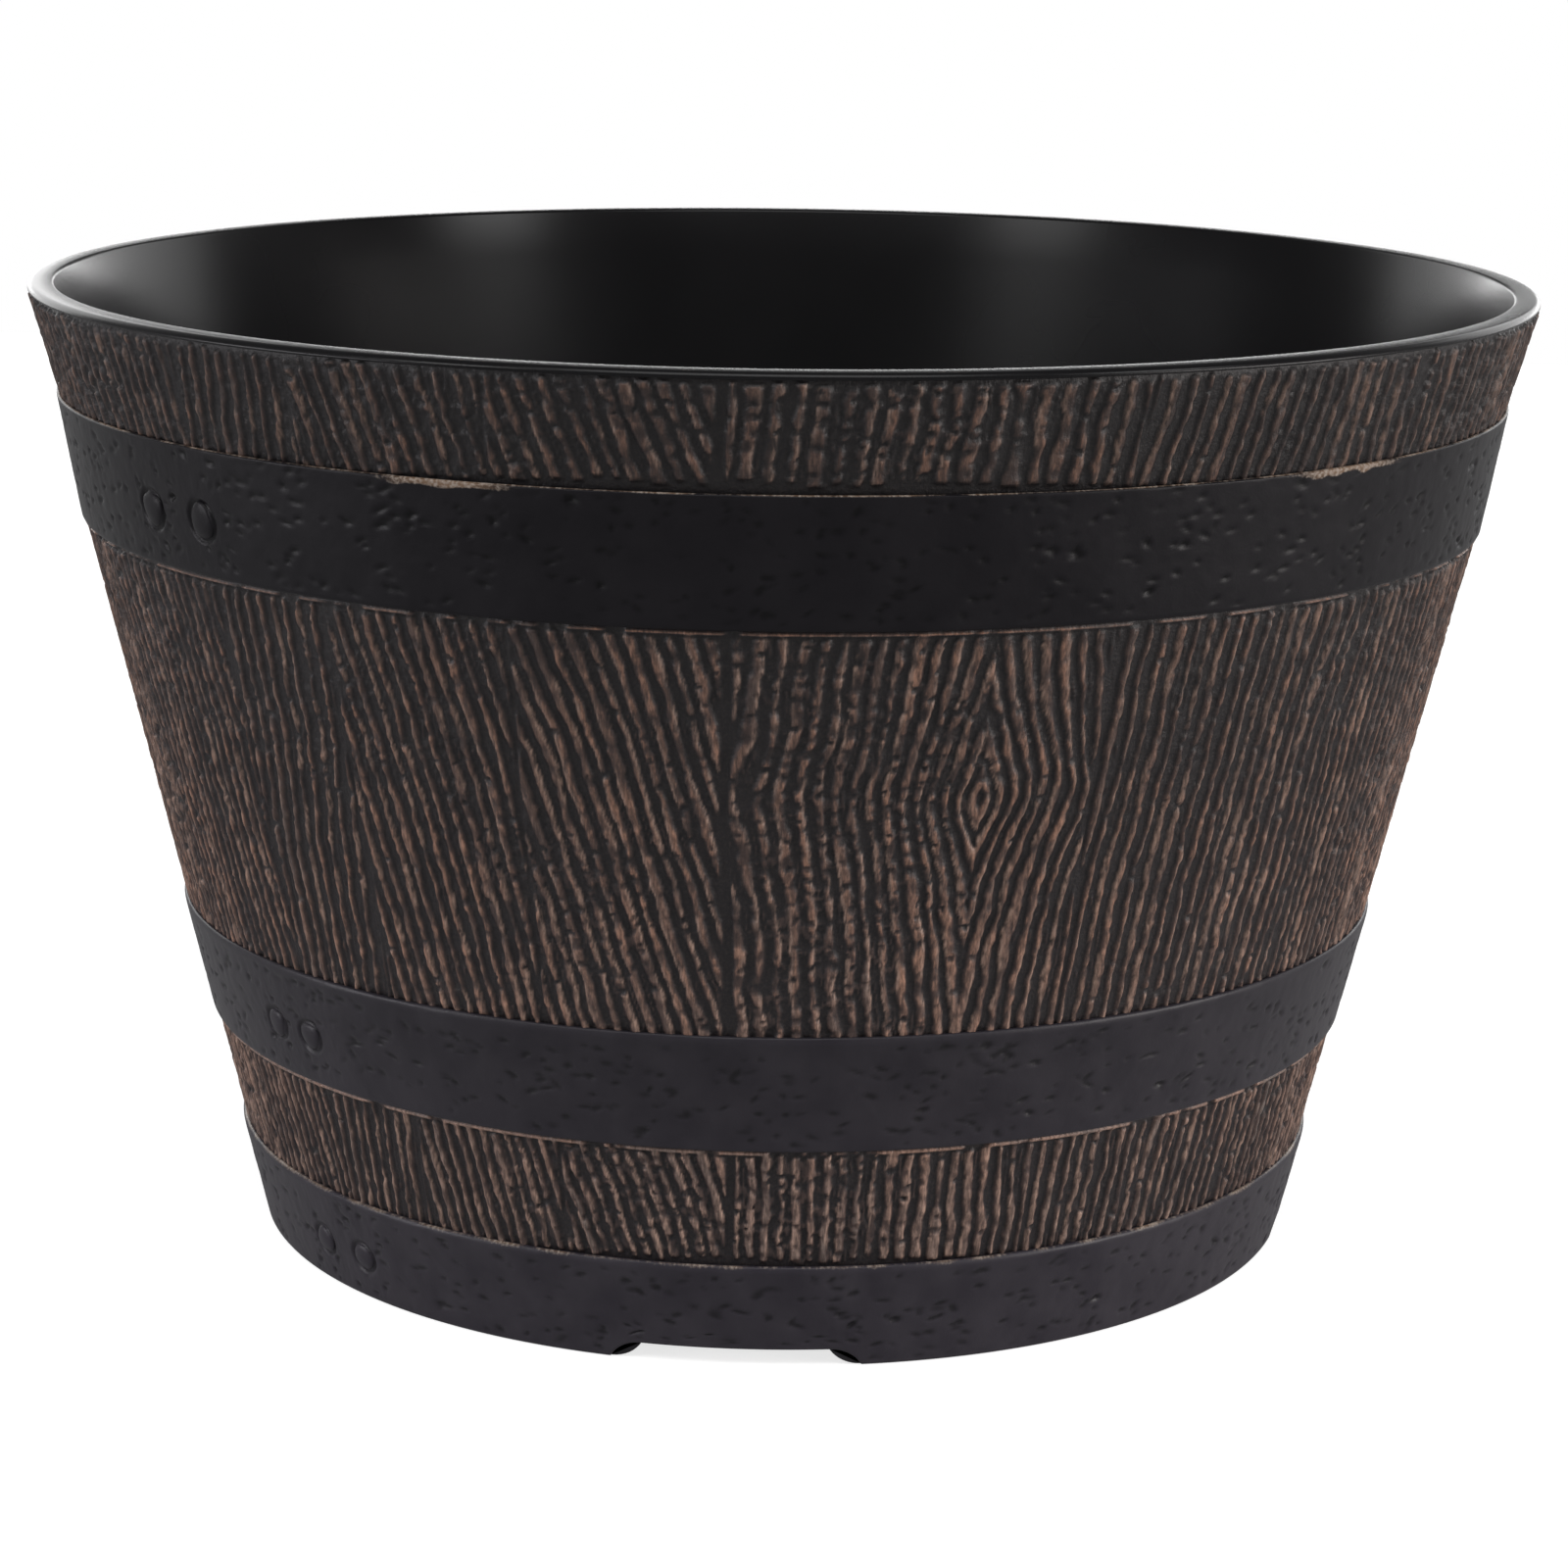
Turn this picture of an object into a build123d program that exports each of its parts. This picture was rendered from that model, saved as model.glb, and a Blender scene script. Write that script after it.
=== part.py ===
from build123d import *
from math import cos, degrees, radians, sin, sqrt, tan
from typing import NamedTuple
import os

os.makedirs("parts", exist_ok=True)

# Half-barrel planter: a tapered round pot with three hoops and a pair of rivets on each hoop.
# Millimetres, +Z up, origin at the centre of the foot ring on the ground.
# The front, where the wall has its one straight joint line, faces -Y.

# Outside of the wall: the rim's radius, and how far each stretch leans from upright, in degrees
rim_radius = 190.5
rim_band_angle = 15.9
upper_hoop_angle = 10.3
wall_angle = 13.4

# Heights of the bands of the wall, from the ground up
base_hoop_height = 26.8
lower_band_height = 30.7
middle_hoop_height = 29.5
middle_band_height = 98.8
upper_hoop_height = 30.9
rim_band_height = 27.3

# Wall, rim and floor
wall_thickness = 6.3
rim_width = 6.5
rim_lip_height = 2.8
rim_outer_bevel = 1.4
floor_underside = 6.0
floor_thickness = 5.0
floor_corner_bevel = 4.5

# Foot ring and its drain notches
foot_width = 9.5
notch_count = 4
notch_width = 44.6
notch_height = 4.4
notch_end_round = 8.6

# Drain holes, and the hub and ribs under the floor
drain_diameter = 14.0
drain_count = 4
drain_circle_radius = 78.0
hub_radius = 16.0
hub_width = 3.0
rib_count = 8
rib_width = 2.6
rib_depth = 2.5

# Hoops: thickness of each band, and the height over which its upper edge slopes back to the wall
upper_hoop_thickness = 0.65
middle_hoop_thickness = 0.8
base_hoop_thickness = 1.0
upper_hoop_bevel = 0.7
lower_hoops_bevel = 1.8

# Rivets: one pair of low conical heads to a hoop
rivet_angle = -47.0
rivet_drop = 2.0
rivet_height = 0.7
rivet_bevel = 0.8
rivet_root = 0.4
upper_rivet_diameter = 8.6
lower_rivets_diameter = 7.0
upper_rivet_spacing = 21.6
middle_rivet_spacing = 14.5
base_rivet_spacing = 17.1

# Levels worked out from the bands
middle_hoop_bottom = base_hoop_height + lower_band_height
middle_hoop_top = middle_hoop_bottom + middle_hoop_height
upper_hoop_bottom = middle_hoop_top + middle_band_height
upper_hoop_top = upper_hoop_bottom + upper_hoop_height
pot_height = upper_hoop_top + rim_band_height
rim_lip_bottom = pot_height - rim_lip_height
floor_top = floor_underside + floor_thickness

# Radii of the wall's outside, worked out from the rim down
upper_hoop_head_radius = rim_radius - (rim_lip_bottom - upper_hoop_top) * tan(radians(rim_band_angle))
upper_hoop_foot_radius = upper_hoop_head_radius - upper_hoop_height * tan(radians(upper_hoop_angle))
foot_radius = upper_hoop_foot_radius - upper_hoop_bottom * tan(radians(wall_angle))

# Inside of the pot, one straight taper from the floor to the mouth, and of the foot ring
floor_radius = foot_radius + floor_top * tan(radians(wall_angle)) - wall_thickness
mouth_radius = rim_radius - rim_width
foot_inner_radius = foot_radius - foot_width


class Hoop(NamedTuple):
    """One band lying on the wall, with its pair of rivets."""

    bottom: float
    top: float
    bottom_radius: float
    angle: float
    thickness: float
    bevel: float
    rivet_diameter: float
    rivet_spacing: float

    def inside(self, level):
        """Radius of the hoop's inner face, which lies on the wall."""
        return self.bottom_radius + (level - self.bottom) * tan(radians(self.angle))

    def outside(self, level):
        """Radius of the hoop's outer face."""
        return self.inside(level) + self.thickness


upper = Hoop(
    upper_hoop_bottom,
    upper_hoop_top,
    upper_hoop_foot_radius,
    upper_hoop_angle,
    upper_hoop_thickness,
    upper_hoop_bevel,
    upper_rivet_diameter,
    upper_rivet_spacing,
)
middle = Hoop(
    middle_hoop_bottom,
    middle_hoop_top,
    foot_radius + middle_hoop_bottom * tan(radians(wall_angle)),
    wall_angle,
    middle_hoop_thickness,
    lower_hoops_bevel,
    lower_rivets_diameter,
    middle_rivet_spacing,
)
base = Hoop(
    0,
    base_hoop_height,
    foot_radius,
    wall_angle,
    base_hoop_thickness,
    lower_hoops_bevel,
    lower_rivets_diameter,
    base_rivet_spacing,
)


def hoop_section(hoop):
    """Half section of a hoop, its upper edge sloping back to the wall."""
    bevel_bottom = hoop.top - hoop.bevel
    with BuildSketch(Plane.XZ) as section:
        with BuildLine():
            Polyline(
                (hoop.inside(hoop.bottom), hoop.bottom),
                (hoop.outside(hoop.bottom), hoop.bottom),
                (hoop.outside(bevel_bottom), bevel_bottom),
                (hoop.inside(hoop.top), hoop.top),
                close=True,
            )
        make_face()
    return section.sketch


def rivet_seats(hoop):
    """Planes on a hoop's outer face at its two rivets, facing out."""
    level = (hoop.bottom + hoop.top) / 2 - rivet_drop
    half_turn = degrees(hoop.rivet_spacing / 2 / hoop.outside(level))
    seats = []
    for angle in (rivet_angle - half_turn, rivet_angle + half_turn):
        side = Vector(sin(radians(angle)), -cos(radians(angle)), 0)
        outward = side * cos(radians(hoop.angle)) - Vector(0, 0, sin(radians(hoop.angle)))
        seats.append(Plane(side * hoop.outside(level) + Vector(0, 0, level), z_dir=outward))
    return seats


def rivet_head(hoop):
    """Low cone cut off flat, with a root under its seat for cutting to the hoop's round."""
    crown_radius = hoop.rivet_diameter / 2 - rivet_bevel
    flare = rivet_bevel / rivet_height
    height = rivet_root + rivet_height
    with BuildPart() as head:
        with Locations((0, 0, -rivet_root)):
            Cone(
                bottom_radius=crown_radius + flare * height,
                top_radius=crown_radius,
                height=height,
                align=(Align.CENTER, Align.CENTER, Align.MIN),
            )
    return head.part


def foot_notches():
    """Cutters for the drain notches, which leave the ends of the foot rounded off."""
    half_flat = notch_width / 2
    half_open = half_flat + sqrt(notch_height * (2 * notch_end_round - notch_height))
    cut_start = foot_inner_radius - foot_width
    cut_end = base.outside(base.top)
    with BuildPart() as notch:
        with BuildSketch(Plane.XZ.offset(cut_start)):
            with BuildLine():
                Line((-half_open, 0), (half_open, 0))
                RadiusArc((half_open, 0), (half_flat, notch_height), notch_end_round)
                Line((half_flat, notch_height), (-half_flat, notch_height))
                RadiusArc((-half_flat, notch_height), (-half_open, 0), notch_end_round)
            make_face()
        extrude(amount=cut_end - cut_start)
    return [notch.part.rotate(Axis.Z, index * 360 / notch_count) for index in range(notch_count)]


# Shell: wall, rim, floor and foot ring
with BuildPart() as pot_shell:
    with BuildSketch(Plane.XZ) as wall_section:
        with BuildLine():
            Polyline(
                (0, floor_underside),
                (foot_inner_radius, floor_underside),
                (foot_inner_radius, 0),
                (foot_radius, 0),
                (upper_hoop_foot_radius, upper_hoop_bottom),
                (upper_hoop_head_radius, upper_hoop_top),
                (rim_radius, rim_lip_bottom),
                (rim_radius, pot_height),
                (mouth_radius, pot_height),
                (floor_radius, floor_top),
                (0, floor_top),
                close=True,
            )
        make_face()
        rim_edge = wall_section.vertices().sort_by_distance((rim_radius, pot_height))[0]
        chamfer(rim_edge, rim_outer_bevel)
        floor_corner = wall_section.vertices().sort_by_distance((floor_radius, floor_top))[0]
        chamfer(floor_corner, floor_corner_bevel)
    revolve(axis=Axis.Z)

    # Stiffening under the floor: a hub round the middle hole, and ribs from it to the foot ring
    rib_start = hub_radius - hub_width / 2
    rib_length = foot_inner_radius + foot_width / 2 - rib_start
    with BuildSketch(Plane.XY.offset(floor_underside)):
        Circle(hub_radius)
        Circle(hub_radius - hub_width, mode=Mode.SUBTRACT)
        with PolarLocations(rib_start + rib_length / 2, rib_count, start_angle=180 / rib_count):
            Rectangle(rib_length, rib_width)
    extrude(amount=-rib_depth)

    # Drain holes: one in the middle and a ring of them
    with Locations((0, 0, floor_top)):
        Hole(drain_diameter / 2, depth=floor_top)
        with PolarLocations(drain_circle_radius, drain_count):
            Hole(drain_diameter / 2, depth=floor_top)

    add(foot_notches(), mode=Mode.SUBTRACT)
pot_shell.part.label = "pot_shell"
export_step(pot_shell.part, "parts/pot_shell.step")

# Upper hoop and its rivets
with BuildPart() as upper_hoop:
    add(hoop_section(upper))
    revolve(axis=Axis.Z)
upper_hoop.part.label = "upper_hoop"
export_step(upper_hoop.part, "parts/upper_hoop.step")

with BuildPart() as upper_hoop_rivets:
    with Locations(rivet_seats(upper)):
        add(rivet_head(upper))
    add(upper_hoop.part, mode=Mode.SUBTRACT)
upper_hoop_rivets.part.label = "upper_hoop_rivets"
export_step(upper_hoop_rivets.part, "parts/upper_hoop_rivets.step")

# Middle hoop and its rivets
with BuildPart() as middle_hoop:
    add(hoop_section(middle))
    revolve(axis=Axis.Z)
middle_hoop.part.label = "middle_hoop"
export_step(middle_hoop.part, "parts/middle_hoop.step")

with BuildPart() as middle_hoop_rivets:
    with Locations(rivet_seats(middle)):
        add(rivet_head(middle))
    add(middle_hoop.part, mode=Mode.SUBTRACT)
middle_hoop_rivets.part.label = "middle_hoop_rivets"
export_step(middle_hoop_rivets.part, "parts/middle_hoop_rivets.step")

# Base hoop, notched together with the foot ring that it covers, and its rivets
with BuildPart() as base_hoop:
    add(hoop_section(base))
    revolve(axis=Axis.Z)
    add(foot_notches(), mode=Mode.SUBTRACT)
base_hoop.part.label = "base_hoop"
export_step(base_hoop.part, "parts/base_hoop.step")

with BuildPart() as base_hoop_rivets:
    with Locations(rivet_seats(base)):
        add(rivet_head(base))
    add(base_hoop.part, mode=Mode.SUBTRACT)
base_hoop_rivets.part.label = "base_hoop_rivets"
export_step(base_hoop_rivets.part, "parts/base_hoop_rivets.step")
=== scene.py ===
from math import cos, pi, radians, sin, tan

import bpy
import numpy as np
from mathutils import Matrix, Vector


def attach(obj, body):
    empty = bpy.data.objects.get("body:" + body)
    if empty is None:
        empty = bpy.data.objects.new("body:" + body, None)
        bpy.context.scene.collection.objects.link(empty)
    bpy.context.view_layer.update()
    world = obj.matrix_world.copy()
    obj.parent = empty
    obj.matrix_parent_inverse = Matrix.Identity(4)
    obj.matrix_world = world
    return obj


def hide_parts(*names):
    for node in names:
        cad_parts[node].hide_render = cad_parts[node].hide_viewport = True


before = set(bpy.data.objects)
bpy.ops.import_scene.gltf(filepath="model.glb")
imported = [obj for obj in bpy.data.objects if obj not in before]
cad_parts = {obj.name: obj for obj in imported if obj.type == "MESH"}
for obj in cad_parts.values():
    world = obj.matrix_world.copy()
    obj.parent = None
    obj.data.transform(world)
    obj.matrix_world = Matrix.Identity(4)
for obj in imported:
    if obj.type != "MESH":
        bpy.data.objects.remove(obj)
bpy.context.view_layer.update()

# Half-barrel planter. Lengths here are in millimetres until a mesh is made, angles in degrees.
# Angles run round the pot from the front (-Y), positive to the right (+X).
MM = 0.001

# The wall, as in the CAD source
rim_radius = 190.5
rim_band_angle = 15.9
upper_hoop_angle = 10.3
wall_angle = 13.4
base_hoop_top = 26.8
middle_hoop_bottom = 57.5
middle_hoop_top = 87.0
upper_hoop_bottom = 185.8
upper_hoop_top = 216.7
rim_lip_bottom = 241.2
pot_height = 244.0
rim_width = 6.5
floor_top = 11.0
wall_thickness = 6.3
foot_width = 9.5
notch_width = 44.6
notch_height = 4.4
notch_end_round = 8.6
notch_count = 4

upper_hoop_head_radius = rim_radius - (rim_lip_bottom - upper_hoop_top) * tan(radians(rim_band_angle))
upper_hoop_foot_radius = upper_hoop_head_radius - (upper_hoop_top - upper_hoop_bottom) * tan(
    radians(upper_hoop_angle)
)
foot_radius = upper_hoop_foot_radius - upper_hoop_bottom * tan(radians(wall_angle))
mouth_radius = rim_radius - rim_width
floor_radius = foot_radius + floor_top * tan(radians(wall_angle)) - wall_thickness
foot_inner_radius = foot_radius - foot_width

WALL_LEVELS = (0.0, upper_hoop_bottom, upper_hoop_top, rim_lip_bottom, pot_height)
WALL_RADII = (foot_radius, upper_hoop_foot_radius, upper_hoop_head_radius, rim_radius, rim_radius)


def wall_radius(level):
    """Outside radius of the wall at a level."""
    return np.interp(level, WALL_LEVELS, WALL_RADII)


# Lengths round the wall are measured at this radius, whatever the level
GRAIN_RADIUS = 166.0
MM_PER_DEGREE = GRAIN_RADIUS * pi / 180


# Seeded noise
def smooth(low, high, value):
    """0 below low, 1 above high, smooth between."""
    t = np.clip((value - low) / (high - low), 0.0, 1.0)
    return t * t * (3.0 - 2.0 * t)


NOISE_CELLS = 512


def noise(x, y, seed):
    """Smooth value noise from -1 to 1, one feature to a unit of x and y."""
    table = np.random.default_rng(seed).uniform(-1.0, 1.0, (NOISE_CELLS, NOISE_CELLS))
    x0 = np.floor(x).astype(int)
    y0 = np.floor(y).astype(int)
    u = x - x0
    v = y - y0
    u = u * u * (3.0 - 2.0 * u)
    v = v * v * (3.0 - 2.0 * v)
    x0 %= NOISE_CELLS
    y0 %= NOISE_CELLS
    x1 = (x0 + 1) % NOISE_CELLS
    y1 = (y0 + 1) % NOISE_CELLS
    low = table[x0, y0] * (1 - u) + table[x1, y0] * u
    high = table[x0, y1] * (1 - u) + table[x1, y1] * u
    return low * (1 - v) + high * v


def pick(numbers, seed):
    """One random value from 0 to 1 for each whole number, the same wherever that number comes up."""
    table = np.random.default_rng(seed).uniform(0.0, 1.0, 4096)
    return table[np.asarray(numbers).astype(int) % 4096]


# The wood grain: ridges with dark grooves between them, leaning another way on each stave
PITCH = 4.3
GROOVE_DEPTH = 1.15

# Staves: angle at which each starts, how far its ridges lean (mm round the wall for each mm up),
# and the spacing of its ridges against the usual one
STAVES = [
    (-180.0, 0.06, 1.00),
    (-152.0, -0.14, 0.95),
    (-126.0, 0.10, 1.05),
    (-98.0, -0.05, 0.92),
    (-71.0, -0.10, 0.85),
    (-44.0, 0.07, 0.92),
    (-32.2, -0.17, 0.90),
    (-16.5, -0.26, 0.95),
    (0.0, 0.0, 1.0),
    (28.7, 0.07, 0.93),
    (54.0, 0.03, 0.86),
    (82.0, -0.09, 0.95),
    (109.0, 0.15, 1.03),
    (138.0, -0.04, 0.95),
]
KNOT_STAVE = 8
KNOT_ANGLE = 19.3
KNOT_LEVEL = 145.8
LEAN_LEVEL = 136.0

# Rings of the knot: how far they push the ridges aside, and how soon that fades
KNOT_PUSH = 15.0
KNOT_REACH = 38.0
KNOT_HEIGHT = 24.0
KNOT_BLUNT_LEFT = 7.0
KNOT_BLUNT_RIGHT = 2.5
SEAM_PUSH = 6.5
SEAM_REACH = 11.0
FRONT_JOINT = 1.3

# How far joints wander (mm), and how far ridges bend and kink (in ridge spacings)
JOINT_WANDER = 1.2
RIDGE_BEND = 0.28
RIDGE_KINK = 0.15
FINE_KINK = 0.07


def grain_phase(s, z):
    """Number of ridges counted along s, with the stave each point is on and its distance to a joint."""
    stave_start = np.array([row[0] for row in STAVES]) * MM_PER_DEGREE
    stave_lean = np.array([row[1] for row in STAVES])
    stave_pitch = np.array([row[2] for row in STAVES]) * PITCH
    wander = JOINT_WANDER * noise(z / 28.0, s / 200.0, 11)
    stave = np.clip(np.searchsorted(stave_start, s - wander, side="right") - 1, 0, len(STAVES) - 1)
    start = stave_start[stave]
    end = np.append(stave_start[1:], 180.0 * MM_PER_DEGREE)[stave]
    joint = np.minimum(s - wander - start, end - (s - wander))

    lean = stave_lean[stave]
    phase = (s - lean * (z - LEAN_LEVEL)) / stave_pitch[stave]

    # The knot: rings round an eye, and ridges that bow towards the front joint
    across = s - KNOT_ANGLE * MM_PER_DEGREE
    blunt = np.where(across < 0, KNOT_BLUNT_LEFT, KNOT_BLUNT_RIGHT)
    fade = np.exp(-(np.hypot(z - KNOT_LEVEL, blunt) - blunt) / KNOT_HEIGHT)
    away = np.hypot(across, 1.0)
    push = KNOT_PUSH * np.exp(-away / KNOT_REACH) * fade
    bow = SEAM_PUSH * np.exp(-np.clip(s, 0.0, None) / SEAM_REACH) * fade
    left = (away - push - bow) / PITCH
    right = (away - push) / PITCH
    rings = np.where(across < 0, left, right)
    phase = np.where(stave == KNOT_STAVE, rings + 40.0, phase)

    # Slow bends and short kinks that each ridge has
    calm = np.where(stave == KNOT_STAVE, 1.0, 0.6)
    phase = phase + RIDGE_BEND * noise(s / 38.0, z / 30.0, 21)
    kinks = RIDGE_KINK * noise(s / 9.0, z / 9.0, 22) + FINE_KINK * noise(s / 4.0, z / 3.2, 23)
    phase = phase + calm * kinks

    # The front joint is a wider groove, on its left
    front = s - wander
    joint = np.where(front < 0.0, np.minimum(joint, -front - FRONT_JOINT), joint)
    return phase, stave, joint


def bead_density(s, z):
    """How often ridges are broken by pits: most in the front joint's stave, and in patches."""
    angle = s / MM_PER_DEGREE
    front = np.exp(-(((angle - 7.0) / 9.0) ** 2))
    near = np.exp(-((angle / 34.0) ** 4))
    patches = smooth(0.1, 0.7, noise(s / 26.0, z / 40.0 + 3.0, 31))
    return np.clip(0.05 + 0.45 * front + (0.10 + 0.25 * near) * patches, 0.0, 0.7)


PIT_SPACING = 3.1

# Widths of the ridges: how they spread from ridge to ridge, swell along one, and narrow at the sides
WIDTH_SPREAD = 0.8
WIDTH_SWELL = 0.38
SIDE_NARROWING = 0.30

# How far a ridge strays and its flanks bulge, and how far a flank reaches in and out of its edge (mm)
RIDGE_STRAY = 0.35
FLANK_KNOBS = 0.30
FINE_KNOBS = 0.16
FLANK_INSIDE = 0.40
FLANK_OUTSIDE = 0.80

# Depth of humps and bites and height of fine ridges, as shares of a ridge; width of its light line (mm)
HUMP_DEPTH = 0.30
BITE_DEPTH = 0.92
HAIR_HEIGHT = 0.42
SHINE_WIDTH = 0.42


def pits(s, z, name, off):
    """Bites in a ridge's flanks and breaks across it, at most one to a stretch of the ridge."""
    density = bead_density(s, z)
    cell = np.floor(z / PIT_SPACING)
    depth = np.zeros_like(z)
    for step in (-1, 0, 1):
        here = cell + step
        key = name * 13 + here * 7
        present = pick(key, 52) < density
        level = (here + 0.2 + 0.6 * pick(key, 53)) * PIT_SPACING
        side = 2.0 * pick(key, 54) - 1.0
        reach = 0.7 + 0.7 * pick(key, 55)
        wide = 1.0 + 0.6 * pick(key, 57)
        distance = np.hypot((z - level - 0.5 * off * side) / 0.85, (off - 1.25 * side) / wide)
        bite = (1.0 - smooth(0.45 * reach, reach, distance)) * present * (0.6 + 0.4 * pick(key, 56))
        depth = np.maximum(depth, bite)
    return depth


def grain(s, z, ridge_width, top_level, bottom_gap):
    """Relief of the wood from 0 in a groove to 1 on a ridge, each ridge's tone, and its light line."""
    phase, stave, joint = grain_phase(s, z)
    ridge = np.floor(phase + 0.5)
    name = ridge + 97 * stave
    off = (phase - ridge) * PITCH
    side = np.where(off < 0, -31.0, 31.0)

    # Each ridge has its own width, swells and thins along it, and has knobbly flanks
    width = ridge_width * (1.0 + WIDTH_SPREAD * (pick(name, 41) - 0.5))
    width = width * (1.0 + WIDTH_SWELL * noise(z / 9.0, name * 7.3, 42))
    width = width * (1.0 - SIDE_NARROWING * smooth(20.0, 36.0, np.abs(s / MM_PER_DEGREE)))
    shift = RIDGE_STRAY * noise(z / 7.0, name * 9.1, 46)
    knobs = FLANK_KNOBS * noise(z / 1.9, name * 3.7 + side, 43) + FINE_KNOBS * noise(s / 0.9, z / 1.5, 44)
    reach = np.abs(off - shift) + knobs
    crest = 1.0 - smooth(width / 2 - FLANK_INSIDE, width / 2 + FLANK_OUTSIDE, reach)

    # Low humps along the top of each ridge
    humps = 0.5 + 0.5 * noise(z / 2.7, name * 5.9, 45)
    crest = crest * (1.0 - HUMP_DEPTH * humps * humps)
    crest = crest * (1.0 - BITE_DEPTH * pits(s, z, name, off))

    # Lumps that roughen the ridges, most of them near the front joint
    rough = bead_density(s, z)
    warp = 0.7 * noise(s / 4.0, z / 4.0, 65)
    lumps = noise(s / 1.9 + warp, z / 1.5 - warp, 64)
    crest = crest * (1.0 - np.clip(0.15 + 0.8 * rough, 0.0, 0.6) * smooth(0.05, 0.55, lumps))
    crest = np.maximum(crest, np.clip(0.9 * rough, 0.0, 0.45) * smooth(0.2, 0.7, -lumps))

    # Short fine ridges in some of the grooves
    between = np.abs(np.abs(off) - PITCH / 2)
    hair = (1.0 - smooth(0.10, 0.50, between)) * smooth(0.25, 0.6, noise(z / 9.0, name * 4.4 + s / 60.0, 61))
    crest = np.maximum(crest, HAIR_HEIGHT * hair * (1.0 + 0.5 * noise(z / 1.6, name * 2.2, 62)))

    # Fine lines along the grain, down in the grooves as well
    crest = crest + 0.05 * noise(phase * 6.0, z / 7.0, 63)

    # Dark line along each joint of the staves
    crest = crest * smooth(0.2, 1.0, joint)

    # Ends of the ridges, each at its own level
    end = top_level - 1.0 * pick(name, 71) - 0.5 * (off / width) ** 2
    crest = crest * (1.0 - smooth(end - 0.7, end, z))
    if bottom_gap is not None:
        front = np.exp(-((s / MM_PER_DEGREE - 3.0) / 24.0) ** 4)
        start = bottom_gap - 2.2 * (1.0 - front) + 1.8 * pick(name, 72) * front
        crest = crest * smooth(start - 0.5, start + 0.6, z)

    # A light line along one edge of each ridge: paint where the brush touched it, and a painted highlight on
    # that edge
    lit_side = np.where(pick(name, 83) < 0.5, -0.5, 0.5)
    line = np.exp(-(((off - shift - lit_side * width) / SHINE_WIDTH) ** 2)) * smooth(0.15, 0.55, crest)
    shine = line * smooth(-0.5, 0.4, noise(z / 5.0, name * 6.1, 84))

    tone = pick(name, 81) * 0.55 + 0.45 * (0.5 + 0.5 * noise(s / 11.0, z / 13.0, 82))
    return np.clip(crest, 0.0, 1.0), np.clip(tone, 0.0, 1.0), shine


# Mesh building
def make_object(name, points, faces, nodes, attributes=None, uv=None, smooth_faces=True):
    """Object from points in mm and quads or triangles, riding on the pot, standing for CAD nodes."""
    mesh = bpy.data.meshes.new(name)
    count = len(points)
    corners = faces.shape[1]
    mesh.vertices.add(count)
    mesh.vertices.foreach_set("co", (points * MM).astype(np.float32).ravel())
    mesh.loops.add(faces.size)
    mesh.loops.foreach_set("vertex_index", faces.astype(np.int32).ravel())
    mesh.polygons.add(len(faces))
    mesh.polygons.foreach_set("loop_start", np.arange(len(faces), dtype=np.int32) * corners)
    mesh.polygons.foreach_set("use_smooth", np.full(len(faces), smooth_faces))
    mesh.update(calc_edges=True)
    for key, values in (attributes or {}).items():
        layer = mesh.attributes.new(key, "FLOAT", "POINT")
        layer.data.foreach_set("value", values.astype(np.float32).ravel())
    if uv is not None:
        layer = mesh.uv_layers.new(name="OFBake")
        layer.data.foreach_set("uv", uv[faces.ravel()].astype(np.float32).ravel())
    mesh.validate()
    obj = bpy.data.objects.new(name, mesh)
    bpy.context.scene.collection.objects.link(obj)
    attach(obj, "root")
    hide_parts(*nodes)
    return obj


def grid_faces(rows, columns, closed):
    """Quads of a grid whose points run along a row first; closed joins the last column to the first."""
    row = np.arange(rows - 1)[:, None]
    last = columns if closed else columns - 1
    column = np.arange(last)[None, :]
    ahead = (column + 1) % columns
    a = row * columns + column
    b = row * columns + ahead
    c = (row + 1) * columns + ahead
    d = (row + 1) * columns + column
    return np.stack([a, b, c, d], axis=-1).reshape(-1, 4)


def around(angle, radius, level):
    """Points in mm from angles in degrees, radii and levels."""
    turn = np.radians(angle)
    return np.stack([radius * np.sin(turn), -radius * np.cos(turn), level + 0 * turn], axis=-1)


# Materials
def new_material(name):
    """Material with only a principled shader, its node tree and that shader."""
    material = bpy.data.materials.new(name)
    material.use_nodes = True
    tree = material.node_tree
    tree.nodes.clear()
    output = tree.nodes.new("ShaderNodeOutputMaterial")
    shader = tree.nodes.new("ShaderNodeBsdfPrincipled")
    tree.links.new(shader.outputs["BSDF"], output.inputs["Surface"])
    return material, tree, shader


def noise_node(tree, vector, scale, detail, roughness, stretch=(1.0, 1.0, 1.0), turn=0.0):
    """Noise texture, its coordinates stretched and turned."""
    mapping = tree.nodes.new("ShaderNodeMapping")
    mapping.inputs["Scale"].default_value = stretch
    mapping.inputs["Rotation"].default_value = (0.0, 0.0, radians(turn))
    tree.links.new(vector, mapping.inputs["Vector"])
    texture = tree.nodes.new("ShaderNodeTexNoise")
    texture.inputs["Scale"].default_value = scale
    texture.inputs["Detail"].default_value = detail
    texture.inputs["Roughness"].default_value = roughness
    tree.links.new(mapping.outputs["Vector"], texture.inputs["Vector"])
    return texture.outputs["Fac"]


def map_range(tree, value, low, high, out_low=0.0, out_high=1.0):
    """Value from low to high laid on out_low to out_high, and held beyond them."""
    node = tree.nodes.new("ShaderNodeMapRange")
    node.inputs["From Min"].default_value = low
    node.inputs["From Max"].default_value = high
    node.inputs["To Min"].default_value = out_low
    node.inputs["To Max"].default_value = out_high
    tree.links.new(value, node.inputs["Value"])
    return node.outputs["Result"]


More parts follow.
